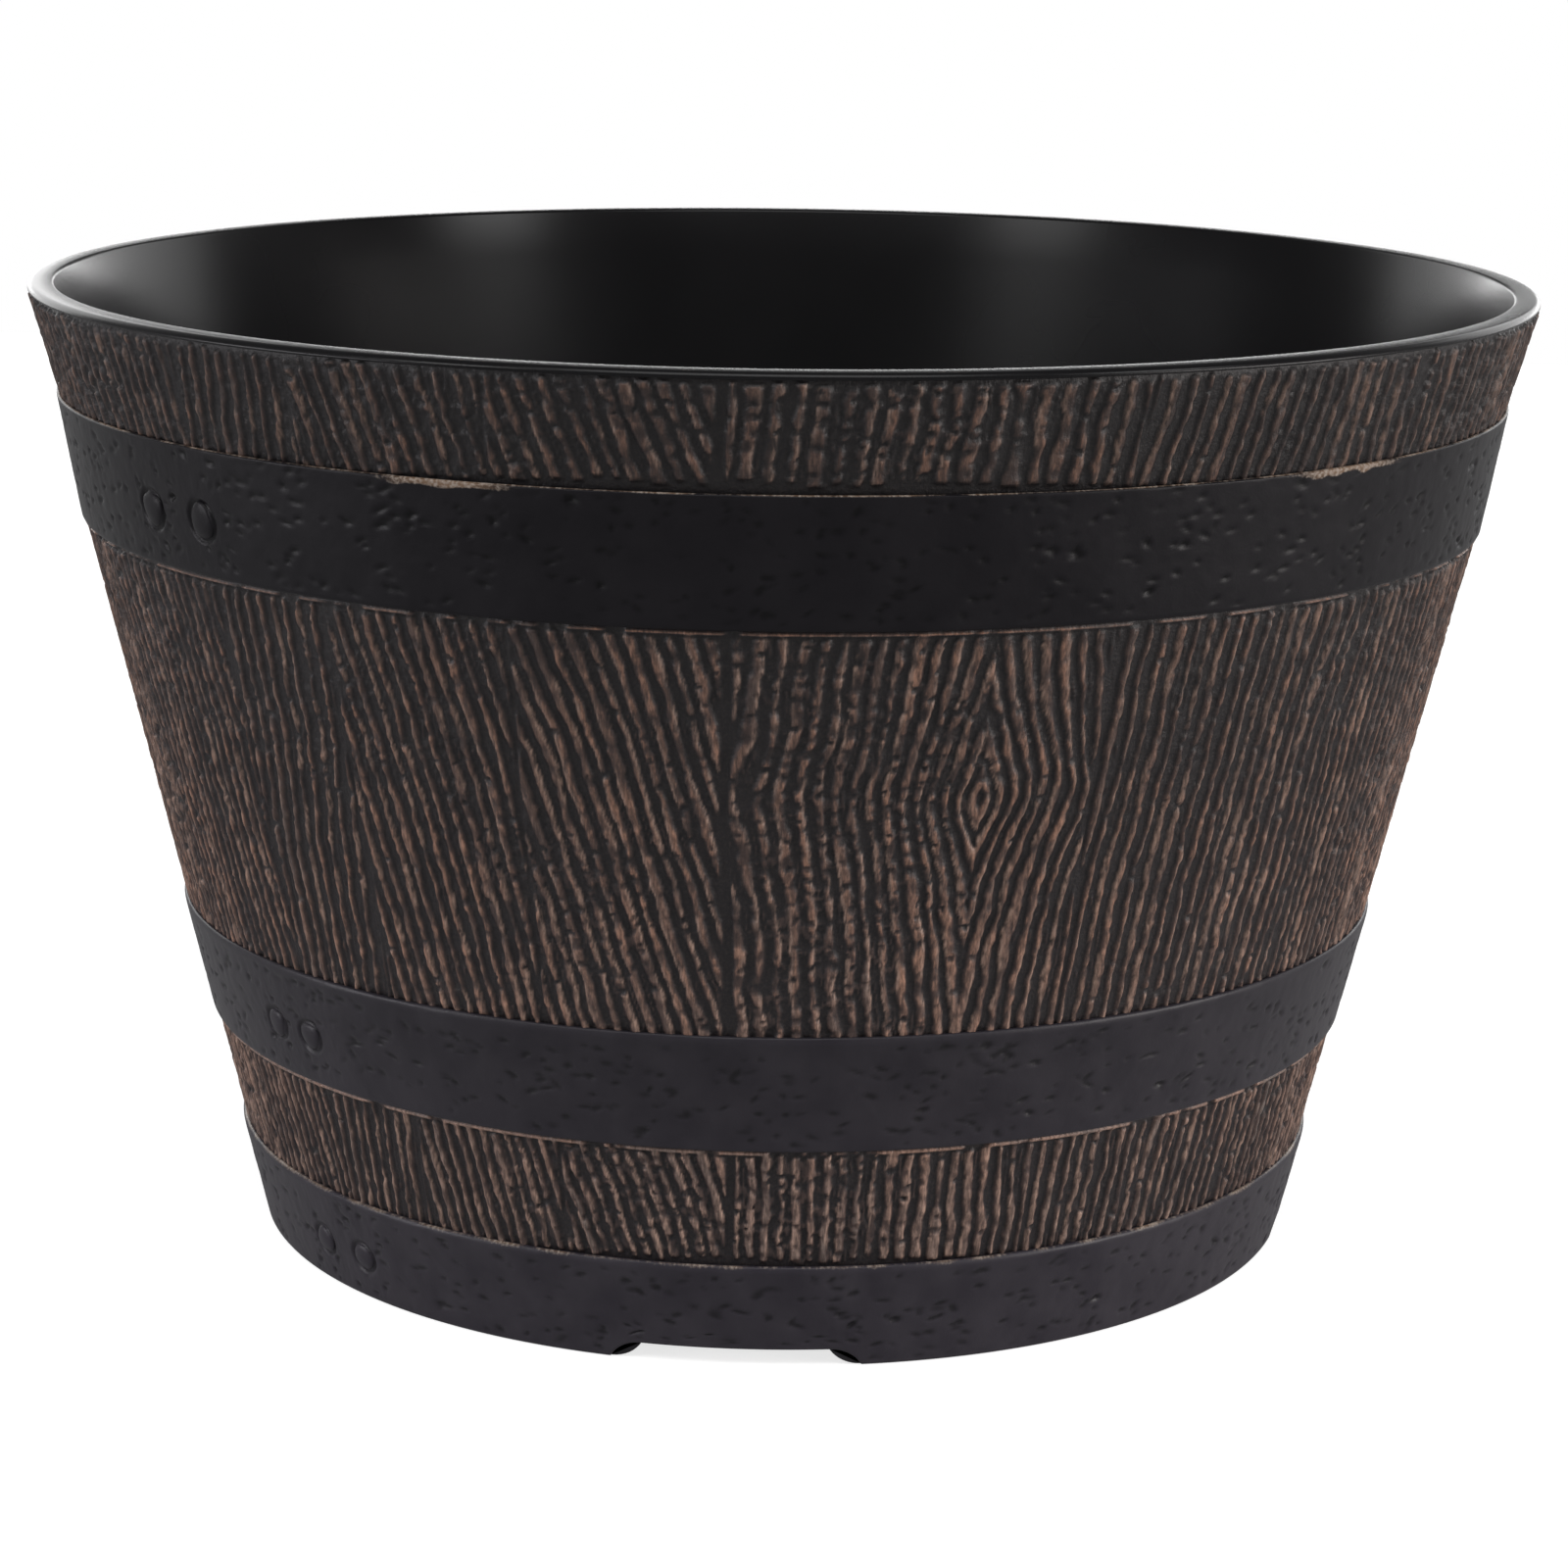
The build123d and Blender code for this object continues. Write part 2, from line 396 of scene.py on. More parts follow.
def math_node(tree, operation, first, second):
    """Sum, difference or product of two sockets or numbers."""
    node = tree.nodes.new("ShaderNodeMath")
    node.operation = operation
    for socket, value in zip(node.inputs, (first, second)):
        if isinstance(value, (int, float)):
            socket.default_value = value
        else:
            tree.links.new(value, socket)
    return node.outputs["Value"]


def mix_colour(tree, factor, first, second):
    """The first colour at factor 0, the second at 1."""
    node = tree.nodes.new("ShaderNodeMix")
    node.data_type = "RGBA"
    tree.links.new(factor, node.inputs["Factor"])
    for socket, value in ((node.inputs["A"], first), (node.inputs["B"], second)):
        if isinstance(value, tuple):
            socket.default_value = value
        else:
            tree.links.new(value, socket)
    return node.outputs["Result"]


def scaled(tree, colour, factor):
    """Colour made lighter or darker by a factor."""
    node = tree.nodes.new("ShaderNodeVectorMath")
    node.operation = "SCALE"
    tree.links.new(colour, node.inputs["Vector"])
    if isinstance(factor, (int, float)):
        node.inputs["Scale"].default_value = factor
    else:
        tree.links.new(factor, node.inputs["Scale"])
    return node.outputs["Vector"]


def attribute(tree, name):
    """A value that the mesh carries for each point."""
    node = tree.nodes.new("ShaderNodeAttribute")
    node.attribute_name = name
    return node.outputs["Fac"]


def combine(tree, across, up):
    """Vector for textures from lengths round the pot and up it."""
    node = tree.nodes.new("ShaderNodeCombineXYZ")
    tree.links.new(across, node.inputs["X"])
    tree.links.new(up, node.inputs["Y"])
    return node.outputs["Vector"]


def bump(tree, height, distance, strength):
    """Fine roughness that is too small for the mesh, its distance in metres."""
    node = tree.nodes.new("ShaderNodeBump")
    node.inputs["Distance"].default_value = distance
    node.inputs["Strength"].default_value = strength
    tree.links.new(height, node.inputs["Height"])
    return node.outputs["Normal"]


# Paint on the ridges and resin in the grooves, and the level in mm up to which the crests are painted paler,
# a painted light from the floor
BRONZE = (0.215, 0.116, 0.080, 1.0)
BRONZE_DULL = (0.108, 0.068, 0.054, 1.0)
GREY_CREST = (0.066, 0.055, 0.050, 1.0)
FLOOR_LIT_CREST = (0.105, 0.086, 0.077, 1.0)
FLOOR_LIGHT_TOP = 110.0
RIDGE_EDGE = (0.310, 0.205, 0.160, 1.0)
RIDGE_FLANK = (0.040, 0.026, 0.023, 1.0)
GROOVE_BLACK = (0.0100, 0.0086, 0.0098, 1.0)
GROOVE_BROWN = (0.0185, 0.0148, 0.0142, 1.0)

# Hoops, the paint brushed on their edges, the smooth shell and its worn rim
HOOP_DARK = (0.0058, 0.0050, 0.0068, 1.0)
HOOP_LIGHT = (0.0084, 0.0074, 0.0094, 1.0)
BRUSHED_DARK = (0.125, 0.080, 0.052, 1.0)
BRUSHED_LIGHT = (0.230, 0.190, 0.160, 1.0)
SHELL_DARK = (0.0028, 0.0026, 0.0031, 1.0)
SHELL_LIGHT = (0.0040, 0.0038, 0.0044, 1.0)
RIM_WORN = (0.150, 0.118, 0.098, 1.0)


def wood_material():
    """Black resin with bronze dry-brushed over its ridges."""
    material, tree, shader = new_material("brushed_wood")
    relief = attribute(tree, "relief")
    tone = attribute(tree, "tone")
    across = attribute(tree, "across")
    level = attribute(tree, "level")
    place = combine(tree, across, level)

    # Diagonal brush strokes, and larger patches where the brush left more or less
    strokes = noise_node(tree, place, 0.75, 4.0, 0.62, (1.6, 0.42, 1.0), 22.0)
    cross = noise_node(tree, place, 0.75, 3.0, 0.6, (1.9, 0.45, 1.0), -28.0)
    patches = noise_node(tree, place, 0.07, 3.0, 0.5)
    speckle = noise_node(tree, place, 1.3, 3.0, 0.6)

    coverage = relief
    for layer, share in ((strokes, 0.70), (cross, 0.45), (patches, 0.55)):
        coverage = math_node(tree, "ADD", coverage, math_node(tree, "MULTIPLY", layer, share))
    bare = map_range(tree, level, middle_hoop_top, pot_height, 1.44, 1.62)
    laid_on = math_node(tree, "SUBTRACT", coverage, bare)
    paint = map_range(tree, laid_on, 0.0, 0.48)
    flank = map_range(tree, laid_on, -0.42, -0.02)

    warmth = math_node(tree, "ADD", tone, math_node(tree, "MULTIPLY", patches, 0.6))
    warm = map_range(tree, warmth, 0.45, 1.05)
    crest = mix_colour(tree, warm, BRONZE_DULL, BRONZE)
    grey = map_range(tree, tone, 0.0, 0.22, 1.0, 0.0)
    crest = mix_colour(tree, grey, crest, GREY_CREST)
    # Painted light: crests paler towards the bottom, standing in for light from the floor
    low_painted_light = map_range(tree, level, base_hoop_top, FLOOR_LIGHT_TOP, 0.60, 0.0)
    crest = mix_colour(tree, low_painted_light, crest, FLOOR_LIT_CREST)
    groove = mix_colour(tree, map_range(tree, speckle, 0.45, 0.7), GROOVE_BLACK, GROOVE_BROWN)
    thin = map_range(tree, strokes, 0.38, 0.62)
    crest = mix_colour(tree, thin, scaled(tree, crest, 0.55), scaled(tree, crest, 1.3))
    colour = mix_colour(tree, paint, mix_colour(tree, flank, groove, RIDGE_FLANK), crest)

    # Paint on one edge of each ridge, partly a painted highlight
    touched = map_range(tree, cross, 0.36, 0.62, 0.1, 0.9)
    edge = math_node(tree, "MULTIPLY", attribute(tree, "shine"), touched)
    colour = mix_colour(tree, edge, colour, RIDGE_EDGE)
    # Painted light lower down and painted shade towards the rim, standing in for light from the floor
    dust_and_painted_light = map_range(tree, level, middle_hoop_bottom, upper_hoop_top, 1.36, 0.60)
    tree.links.new(scaled(tree, colour, dust_and_painted_light), shader.inputs["Base Color"])

    tree.links.new(map_range(tree, paint, 0.0, 1.0, 0.48, 0.40), shader.inputs["Roughness"])
    shader.inputs["Specular IOR Level"].default_value = 0.27
    fine = math_node(tree, "MULTIPLY", strokes, 0.7)
    fine = math_node(tree, "ADD", fine, math_node(tree, "MULTIPLY", speckle, 0.5))
    tree.links.new(bump(tree, fine, 0.00045, 0.7), shader.inputs["Normal"])
    return material


def hoop_material(name, specular):
    """Satin black resin, a little uneven, with bronze dust where the brush touched an edge, painted light
    towards the foot and painted shade in its marks.
    """
    material, tree, shader = new_material(name)
    across = attribute(tree, "across")
    level = attribute(tree, "level")
    worn = attribute(tree, "worn")
    place = combine(tree, across, level)
    cloud = noise_node(tree, place, 0.07, 3.0, 0.5)
    grit = noise_node(tree, place, 1.1, 3.0, 0.6)
    base = mix_colour(tree, map_range(tree, cloud, 0.35, 0.65), HOOP_DARK, HOOP_LIGHT)
    # Painted light: lighter towards the foot, standing in for light from the floor
    base = scaled(tree, base, map_range(tree, level, 0.0, upper_hoop_bottom, 3.6, 0.75))
    # Painted shade: darker in the hammer marks and rivet grooves
    base = scaled(tree, base, map_range(tree, attribute(tree, "dent_shade"), 0.05, 0.70, 1.0, 0.42))
    dust_and_painted_light = math_node(tree, "ADD", worn, math_node(tree, "MULTIPLY", grit, 0.7))
    dust_and_painted_light = map_range(tree, dust_and_painted_light, 0.80, 1.20)
    brushed = mix_colour(tree, map_range(tree, grit, 0.42, 0.6), BRUSHED_DARK, BRUSHED_LIGHT)
    colour = mix_colour(tree, dust_and_painted_light, base, brushed)
    tree.links.new(colour, shader.inputs["Base Color"])
    tree.links.new(map_range(tree, cloud, 0.3, 0.7, 0.38, 0.45), shader.inputs["Roughness"])
    shader.inputs["Specular IOR Level"].default_value = specular
    tree.links.new(bump(tree, grit, 0.00010, 0.35), shader.inputs["Normal"])
    return material


def shell_material():
    """Smooth satin black resin of the inside, rim and underside."""
    material, tree, shader = new_material("smooth_black")
    coordinates = tree.nodes.new("ShaderNodeTexCoord")
    place = coordinates.outputs["Object"]
    worn = attribute(tree, "worn")
    cloud = noise_node(tree, place, 14.0, 3.0, 0.5)
    grit = noise_node(tree, place, 900.0, 2.0, 0.5)
    base = mix_colour(tree, map_range(tree, cloud, 0.35, 0.65), SHELL_DARK, SHELL_LIGHT)
    dust_and_painted_light = math_node(tree, "ADD", worn, math_node(tree, "MULTIPLY", grit, 0.8))
    dust_and_painted_light = map_range(tree, dust_and_painted_light, 0.80, 1.15)
    base = mix_colour(tree, dust_and_painted_light, base, RIM_WORN)

    # Painted light over the shade at the foot: five times lighter up to 4 mm, fading out by 10 mm
    height = tree.nodes.new("ShaderNodeSeparateXYZ")
    tree.links.new(place, height.inputs["Vector"])
    base = scaled(tree, base, map_range(tree, height.outputs["Z"], 0.004, 0.010, 5.0, 1.0))
    tree.links.new(base, shader.inputs["Base Color"])
    tree.links.new(map_range(tree, cloud, 0.3, 0.7, 0.23, 0.29), shader.inputs["Roughness"])
    shader.inputs["Specular IOR Level"].default_value = 0.17
    tree.links.new(bump(tree, grit, 0.00005, 0.15), shader.inputs["Normal"])
    return material


wood = wood_material()
upper_black = hoop_material("hammered_black_upper", 0.13)
lower_black = hoop_material("hammered_black", 0.22)
black_shell = shell_material()


# Wood bands: spacing of the grid's columns in mm, height of the thin line on their shoulder as a share of
# a ridge, and roughness of the grooves in mm
COLUMN = 0.45
SHOULDER_HEIGHT = 1.25
GROOVE_ROUGHNESS = 0.05


def wood_band(name, bottom, top, row, parts, ridge_width, top_level, bottom_gap=None, shoulder=None):
    """A ring of displaced wood, cut into parts round the pot, its rows this far apart.

    Ridges end at top_level and start at bottom_gap; shoulder is the level of a thin line over their ends.
    """
    total = int(round(360.0 * MM_PER_DEGREE / COLUMN / parts)) * parts
    rows = int(round((top - bottom) / row)) + 1
    levels = np.linspace(bottom, top, rows)
    per_part = total // parts
    for part in range(parts):
        columns = np.arange(part * per_part, (part + 1) * per_part + 1)
        angle = -180.0 + columns * 360.0 / total
        s, z = np.meshgrid(angle * MM_PER_DEGREE, levels)
        relief, tone, shine = grain(s, z, ridge_width, top_level, bottom_gap)
        if shoulder is not None:
            broken = smooth(-0.75, 0.0, noise(s / 6.0, z / 60.0, 91) + 0.35 * noise(s / 1.7, z / 60.0, 92))
            line = (1.0 - smooth(0.25, 0.75, np.abs(z - shoulder))) * broken
            relief = np.maximum(relief, SHOULDER_HEIGHT * line)
        rough = GROOVE_ROUGHNESS * noise(s / 1.3, z / 2.6, 95)
        radius = wall_radius(z) - GROOVE_DEPTH * (1.0 - relief) + rough * (1.0 - relief)
        points = around(angle[None, :] + 0 * z, radius, z).reshape(-1, 3)
        uv_across, uv_up = (np.linspace(0.002, 0.998, count) for count in (len(columns), rows))
        uv = np.stack(np.meshgrid(uv_across, uv_up), axis=-1).reshape(-1, 2)
        obj = make_object(
            f"{name}_{part + 1}",
            points,
            grid_faces(rows, len(columns), False),
            ["pot_shell"],
            {"relief": relief, "tone": tone, "shine": shine, "across": s, "level": z},
            uv,
        )
        obj.data.materials.append(wood)


wood_band(
    "wood_rim_band",
    bottom=upper_hoop_top - 0.6,
    top=pot_height - 1.7,
    row=0.55,
    parts=2,
    ridge_width=1.75,
    top_level=rim_lip_bottom + 0.9,
    bottom_gap=upper_hoop_top + 1.6,
)
wood_band(
    "wood_middle_band",
    bottom=middle_hoop_top - 1.0,
    top=upper_hoop_bottom + 0.6,
    row=0.7,
    parts=4,
    ridge_width=1.55,
    top_level=upper_hoop_bottom - 0.9,
    shoulder=upper_hoop_bottom - 0.75,
)
wood_band(
    "wood_lower_band",
    bottom=base_hoop_top - 1.0,
    top=middle_hoop_bottom + 0.6,
    row=0.55,
    parts=2,
    ridge_width=1.55,
    top_level=middle_hoop_bottom - 0.6,
    bottom_gap=base_hoop_top + 0.4,
    shoulder=middle_hoop_bottom - 0.7,
)


# Revolved and carried-over pieces of the shell
def arc(centre, radius, start, end, steps):
    """Points of an arc in the half section, angles in degrees."""
    angles = np.radians(np.linspace(start, end, steps))
    return [(centre[0] + radius * cos(a), centre[1] + radius * sin(a)) for a in angles]


def revolve(name, profile, columns, worn):
    """Ring of the shell from a half section in mm, with a brushed amount for each of its points."""
    profile = np.array(profile)
    angle = -180.0 + np.arange(columns) * 360.0 / columns
    radius = np.repeat(profile[:, :1], columns, axis=1)
    level = np.repeat(profile[:, 1:], columns, axis=1)
    points = around(angle[None, :] + 0 * level, radius, level).reshape(-1, 3)
    faces = grid_faces(len(profile), columns, True)
    s = angle * MM_PER_DEGREE
    broken = 0.55 + 0.45 * noise(s / 7.0, 0 * s, 97) + 0.3 * noise(s / 1.5, 0 * s, 98)
    obj = make_object(name, points, faces, ["pot_shell"], {"worn": np.outer(worn, broken)})
    obj.data.materials.append(black_shell)


RIM_COLUMNS = 1080
RIM_INNER_ROUND = 0.9
RIM_OUTER_ROUND = 1.55
FLOOR_CORNER = 4.5


def inner_radius(level):
    """Radius of the inside of the pot at a level."""
    inner_slope = (mouth_radius - floor_radius) / (pot_height - floor_top)
    return floor_radius + (level - floor_top) * inner_slope


def rim_and_inside():
    """Rim with round edges, inside of the wall and corner of the floor, as one ring."""
    edge_level = pot_height - RIM_OUTER_ROUND
    profile = [(rim_radius - GROOVE_DEPTH, edge_level - 0.3), (rim_radius - 0.2, edge_level - 0.2)]
    profile += arc((rim_radius - RIM_OUTER_ROUND, edge_level), RIM_OUTER_ROUND, 0, 90, 9)
    outer_end = len(profile)
    inner_centre = (mouth_radius + RIM_INNER_ROUND, pot_height - RIM_INNER_ROUND)
    profile += arc(inner_centre, RIM_INNER_ROUND, 90, 172, 7)
    profile += [(inner_radius(level), level) for level in np.linspace(pot_height - 3.0, floor_top + 7.0, 24)]
    corner_level = floor_top + FLOOR_CORNER
    corner_radius = inner_radius(corner_level)
    profile += [
        (corner_radius - FLOOR_CORNER * (1 - cos(a)), corner_level - (FLOOR_CORNER - 0.02) * sin(a))
        for a in np.linspace(0.1, pi / 2, 8)
    ]
    # It runs on under the floor's surface
    profile.append((floor_radius - FLOOR_CORNER - 1.5, floor_top - 0.1))

    # Brushed where the outer round meets the flat top
    worn = [0.0] * len(profile)
    worn[outer_end - 3 : outer_end] = [0.2, 0.5, 0.2]
    revolve("shell_rim_and_inside", profile, RIM_COLUMNS, worn)


def floor_and_foot():
    """Floor, drain holes, hub, ribs and foot ring: the CAD shell's faces up to the floor's level."""
    cad_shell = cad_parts["pot_shell"].data
    shell_points = np.empty(len(cad_shell.vertices) * 3, dtype=np.float32)
    cad_shell.vertices.foreach_get("co", shell_points)
    shell_points = shell_points.reshape(-1, 3) / MM
    kept_faces = []
    for face in cad_shell.polygons:
        corners = shell_points[list(face.vertices)]
        radii = np.hypot(corners[:, 0], corners[:, 1])
        top = corners[:, 2].max()
        on_wall = np.all(radii > wall_radius(corners[:, 2]) - 0.3) and top > notch_height + 0.5
        if top <= floor_top + 0.01 and not on_wall:
            kept_faces.append(list(face.vertices))
    used = sorted({index for face in kept_faces for index in face})
    renumber = {old: new for new, old in enumerate(used)}
    faces = np.array([[renumber[i] for i in face] for face in kept_faces])
    points = shell_points[used]
    obj = make_object("shell_floor_and_foot", points, faces, ["pot_shell"], smooth_faces=False)
    obj.data.materials.append(black_shell)


rim_and_inside()
floor_and_foot()


# Hoops: the ring groove round a rivet, and the place of a hoop's pair of rivets
RIVET_GROOVE_WIDTH = 1.1
RIVET_GROOVE_DEPTH = 0.75
RIVET_DROP = 2.0
RIVET_ANGLE = -47.0


def rivet_pair(bottom, top, bottom_radius, slope, thickness, spacing):
    """Angle and level of a hoop's two rivets, this far apart along its face."""
    level = (bottom + top) / 2 - RIVET_DROP
    radius = bottom_radius + (level - bottom) * slope + thickness
    half = spacing / 2 / radius * 180 / pi
    return [(RIVET_ANGLE - half, level), (RIVET_ANGLE + half, level)]


def build_hoop(
    name, bottom, top, angle, thickness, edge, rivet_radius, spacing, seed, edge_line, patches, material
):
    """Sizes of one hoop and the places of its rivets.

    Edge is the height over which its top rounds off, edge_line how much paint its upper edge has, and
    patches the angle and the width of each worn stretch.
    """
    slope = tan(radians(angle))
    bottom_radius = float(wall_radius(bottom))
    rivets = rivet_pair(bottom, top, bottom_radius, slope, thickness, spacing)
    return {
        "name": name,
        "bottom": bottom,
        "top": top,
        "slope": slope,
        "bottom_radius": bottom_radius,
        "thickness": thickness,
        "edge": edge,
        "rivet_radius": rivet_radius,
        "rivets": rivets,
        "seed": seed,
        "edge_line": edge_line,
        "patches": patches,
        "material": material,
    }


hoops = [
    build_hoop(
        name="upper_hoop",
        bottom=upper_hoop_bottom,
        top=upper_hoop_top,
        angle=upper_hoop_angle,
        thickness=0.65,
        edge=0.55,
        rivet_radius=4.3,
        spacing=21.6,
        seed=101,
        edge_line=0.85,
        patches=[(-20.0, 6.0), (48.0, 7.0), (140.0, 8.0), (-128.0, 7.0)],
        material=upper_black,
    ),
    build_hoop(
        name="middle_hoop",
        bottom=middle_hoop_bottom,
        top=middle_hoop_top,
        angle=wall_angle,
        thickness=0.8,
        edge=1.8,
        rivet_radius=3.5,
        spacing=14.5,
        seed=202,
        edge_line=0.35,
        patches=[],
        material=lower_black,
    ),
    build_hoop(
        name="base_hoop",
        bottom=0.0,
        top=base_hoop_top,
        angle=wall_angle,
        thickness=1.0,
        edge=1.8,
        rivet_radius=3.5,
        spacing=17.1,
        seed=303,
        edge_line=0.75,
        patches=[],
        material=lower_black,
    ),
]

# Hammer marks: wall area to one mark, and depth of the deepest
DENT_AREA = 27.0
DENT_DEPTH = 0.46

# Spacing of a hoop's grid in mm, finer near the rivets, between two angles and up to a distance in height
HOOP_COLUMN = 0.80
HOOP_ROW = 0.66
RIVET_COLUMN = 0.32
RIVET_ROW = 0.5
RIVETS_START = -54.0
RIVETS_END = -40.0
RIVET_REACH = 6.5

# Columns are closer within this angle of a notch's ends, and columns nearer than the least are left out
NOTCH_END = 11.0
NOTCH_END_REACH = 2.4
NOTCH_COLUMN = 0.3
LEAST_COLUMN = 0.08

# At a notch, the rows up to this height close up to follow its edge, and the lowest keeps a gap from it
NOTCH_BLEND = 9.0
FOOT_GAP = 0.4

# The face lies this much inside the CAD's, and its ends reach this far into the wall
FACE_DROP = 0.02
WALL_REACH = 0.6


def dents(angle, level, radius, hoop):
    """Depth of the hammer marks, which are mostly longer round the pot than up it."""
    rng = np.random.default_rng(hoop["seed"])
    height = hoop["top"] - hoop["bottom"]
    girth = 2 * pi * radius.mean()
    count = int(girth * height / DENT_AREA)
    depth = 0.05 * noise(angle * 1.1, level / 4.0, hoop["seed"] + 1)
    depth = depth + 0.03 * noise(angle * 2.6, level / 1.7, hoop["seed"] + 2)
    row_levels = level[:, 0]
    column_angles = angle[0]
    for _ in range(count):
        centre = rng.uniform(-180.0, 180.0)
        centre_level = rng.uniform(hoop["bottom"] + 1.0, hoop["top"] - hoop["edge"] - 0.4)
        long = rng.uniform(0.75, 1.8)
        short = rng.uniform(0.5, 0.8)
        turn = rng.normal(0.0, 0.35)
        strength = rng.uniform(0.35, 1.0) * DENT_DEPTH
        reach = 2.6 * long
        rows = np.nonzero(np.abs(row_levels - centre_level) < reach)[0]
        gap = (column_angles - centre + 180.0) % 360.0 - 180.0
        columns = np.nonzero(np.abs(gap) < reach / radius.mean() * 180 / pi)[0]
        if not len(rows) or not len(columns):
            continue
        across = gap[columns][None, :] * pi / 180 * radius.mean()
        up = (row_levels[rows] - centre_level)[:, None]
        u = (across * cos(turn) + up * sin(turn)) / long
        v = (-across * sin(turn) + up * cos(turn)) / short
        depth[np.ix_(rows, columns)] += strength * np.exp(-((u * u + v * v) ** 1.4))
    return depth


def spaced(low, high, step, fine_low, fine_high, fine_step):
    """Values from low to high, closer together between fine_low and fine_high."""
    before = np.arange(low, fine_low, step)
    fine = np.arange(fine_low, fine_high, fine_step)
    after = np.arange(fine_high, high, step)
    return np.concatenate([before, fine, after, [high]])


NOTCH_ANGLES = [index * 360.0 / notch_count for index in range(notch_count)]


def foot_level(x):
    """Height of the foot's underside at a distance x from a notch's centre line."""
    x = np.abs(x)
    half_flat = notch_width / 2
    run = np.clip(x - half_flat, 0.0, notch_end_round)
    rise = notch_height - (notch_end_round - np.sqrt(np.clip(notch_end_round**2 - run**2, 0.0, None)))
    half_open = half_flat + (notch_height * (2 * notch_end_round - notch_height)) ** 0.5
    return np.where(x < half_open, np.clip(rise, 0.0, notch_height), 0.0)


def hoop_columns(hoop):
    """Angles of the columns, closer together at the rivets and at the ends of the foot's notches."""
    degree = 180 / pi / (hoop["bottom_radius"] + 4.0)
    last = 180.0 - 0.4 * degree
    columns = spaced(-180.0, last, HOOP_COLUMN * degree, RIVETS_START, RIVETS_END, RIVET_COLUMN * degree)
    if hoop["bottom"] > 0.0:
        return columns
    extra = []
    for centre in NOTCH_ANGLES:
        for side in (-1, 1):
            edge = centre + side * NOTCH_END
            extra.append(np.arange(edge - NOTCH_END_REACH, edge + NOTCH_END_REACH, NOTCH_COLUMN * degree))
    extra = (np.concatenate(extra) + 180.0) % 360.0 - 180.0
    columns = np.unique(np.round(np.concatenate([columns, extra]), 5))
    return columns[np.append(True, np.diff(columns) > LEAST_COLUMN * degree)]


def lower_edge(hoop, columns):
    """Level of the hoop's lower edge at each column, raised at the notches of the foot."""
    if hoop["bottom"] > 0.0:
        return np.full_like(columns, hoop["bottom"])
    bottom = np.zeros_like(columns)
    for centre in NOTCH_ANGLES:
        gap = (columns - centre + 180.0) % 360.0 - 180.0
        x = np.where(np.abs(gap) < 60.0, np.sin(np.radians(gap)) * hoop["bottom_radius"], 1000.0)
        bottom = np.maximum(bottom, foot_level(x))
    return bottom


def hammered(hoop, angle, row_level, level, radius):
    """Depth of the marks and rivet grooves in the face, and the painted shade in them."""
    flat_top = hoop["top"] - hoop["edge"]
    depth = dents(angle, row_level, radius, hoop)
    depth = depth * smooth(0.0, 2.0, level - level.min(axis=0)[None, :])
    depth = depth * smooth(0.0, 1.5, flat_top + 0.3 - level)
    # Painted shade in each mark, deepest marks darkest
    dent_shade = np.clip(depth / DENT_DEPTH, 0.0, 1.0)
    for centre, centre_level in hoop["rivets"]:
        across = (angle - centre) * pi / 180 * radius
        distance = np.hypot(across, (level - centre_level) / cos(radians(wall_angle)))
        ring = hoop["rivet_radius"] + RIVET_GROOVE_WIDTH / 2
        groove = np.exp(-(((distance - ring) / (RIVET_GROOVE_WIDTH / 1.9)) ** 2))
        calm = smooth(hoop["rivet_radius"], hoop["rivet_radius"] + 2.5, distance)
        depth = depth * calm + RIVET_GROOVE_DEPTH * groove
        dent_shade = np.maximum(dent_shade * calm, 0.6 * groove)
    return depth, dent_shade


